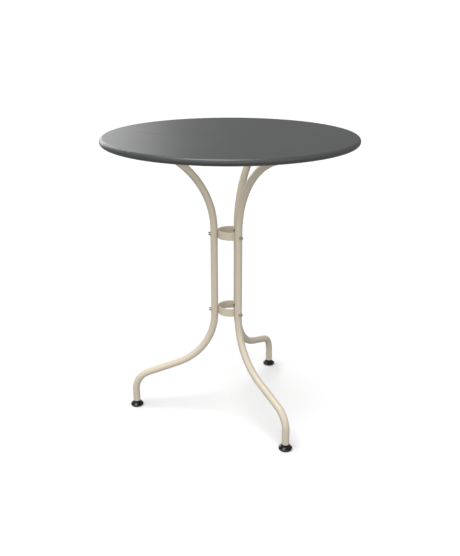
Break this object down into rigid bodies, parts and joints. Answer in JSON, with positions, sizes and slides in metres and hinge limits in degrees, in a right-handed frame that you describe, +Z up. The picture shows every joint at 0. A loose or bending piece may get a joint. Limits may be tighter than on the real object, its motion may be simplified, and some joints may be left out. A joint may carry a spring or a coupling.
{
  "type": "bistro table",
  "caption": "Round pressed steel bistro table on bent tube legs, which are bolted to flat rings at the column and stand on swivel levelling feet.",
  "frame": {"origin": "on the floor, under the centre of the round top", "axes": "+Z up; -X along the left leg; the rear and front legs are 60 degrees either side of +X"},
  "size_m": [0.5999, 0.6, 0.715],
  "materials": {
    "top_paint": "satin anthracite powder coat",
    "frame_paint": "satin cream powder coat",
    "plated_steel": "bright zinc plate",
    "gloss_plastic": "moulded black, glossy",
    "black_plastic": "moulded black, matt",
    "black_rubber": "moulded, matt"
  },
  "bodies": {
    "root": {"table_top": "top_paint", "upper_ring": "frame_paint", "lower_ring": "frame_paint", "ring_bolts": "plated_steel", "ring_bolt_washers": "plated_steel", "ring_sleeve_nuts": "plated_steel", "leg_screws": "plated_steel", "leg_screw_nuts": "plated_steel", "channel_left": "top_paint", "leg_left": "frame_paint", "leg_plug_left": "black_plastic", "foot_insert_left": "black_plastic", "channel_rear": "top_paint", "leg_rear": "frame_paint", "leg_plug_rear": "black_plastic", "foot_insert_rear": "black_plastic", "channel_front": "top_paint", "leg_front": "frame_paint", "leg_plug_front": "black_plastic", "foot_insert_front": "black_plastic"},
    "foot_left": {"foot_pad_left": "gloss_plastic", "foot_sole_left": "black_rubber"},
    "foot_screw_left": {"foot_spindle_left": "plated_steel"},
    "foot_rear": {"foot_pad_rear": "gloss_plastic", "foot_sole_rear": "black_rubber"},
    "foot_screw_rear": {"foot_spindle_rear": "plated_steel"},
    "foot_front": {"foot_pad_front": "gloss_plastic", "foot_sole_front": "black_rubber"},
    "foot_screw_front": {"foot_spindle_front": "plated_steel"}
  },
  "joints": [
    {"name": "foot_travel_left", "type": "slide", "parent": "root", "child": "foot_left", "axis": [0, 0, -1], "range_m": [0, 0.01]},
    {"name": "foot_screw_turn_left", "type": "hinge", "parent": "foot_left", "child": "foot_screw_left", "pos_m": [-0.249, 0, 0.02], "axis": [0, 0, -1], "range_deg": [0, 2880]},
    {"name": "foot_travel_rear", "type": "slide", "parent": "root", "child": "foot_rear", "axis": [0, 0, -1], "range_m": [0, 0.01]},
    {"name": "foot_screw_turn_rear", "type": "hinge", "parent": "foot_rear", "child": "foot_screw_rear", "pos_m": [0.1245, 0.21564, 0.02], "axis": [0, 0, -1], "range_deg": [0, 2880]},
    {"name": "foot_travel_front", "type": "slide", "parent": "root", "child": "foot_front", "axis": [0, 0, -1], "range_m": [0, 0.01]},
    {"name": "foot_screw_turn_front", "type": "hinge", "parent": "foot_front", "child": "foot_screw_front", "pos_m": [0.1245, -0.21564, 0.02], "axis": [0, 0, -1], "range_deg": [0, 2880]}
  ],
  "couplings": [
    {"joint": "foot_screw_turn_left", "follows": "foot_travel_left", "rad_per_m": 5026.5},
    {"joint": "foot_screw_turn_rear", "follows": "foot_travel_rear", "rad_per_m": 5026.5},
    {"joint": "foot_screw_turn_front", "follows": "foot_travel_front", "rad_per_m": 5026.5}
  ]
}
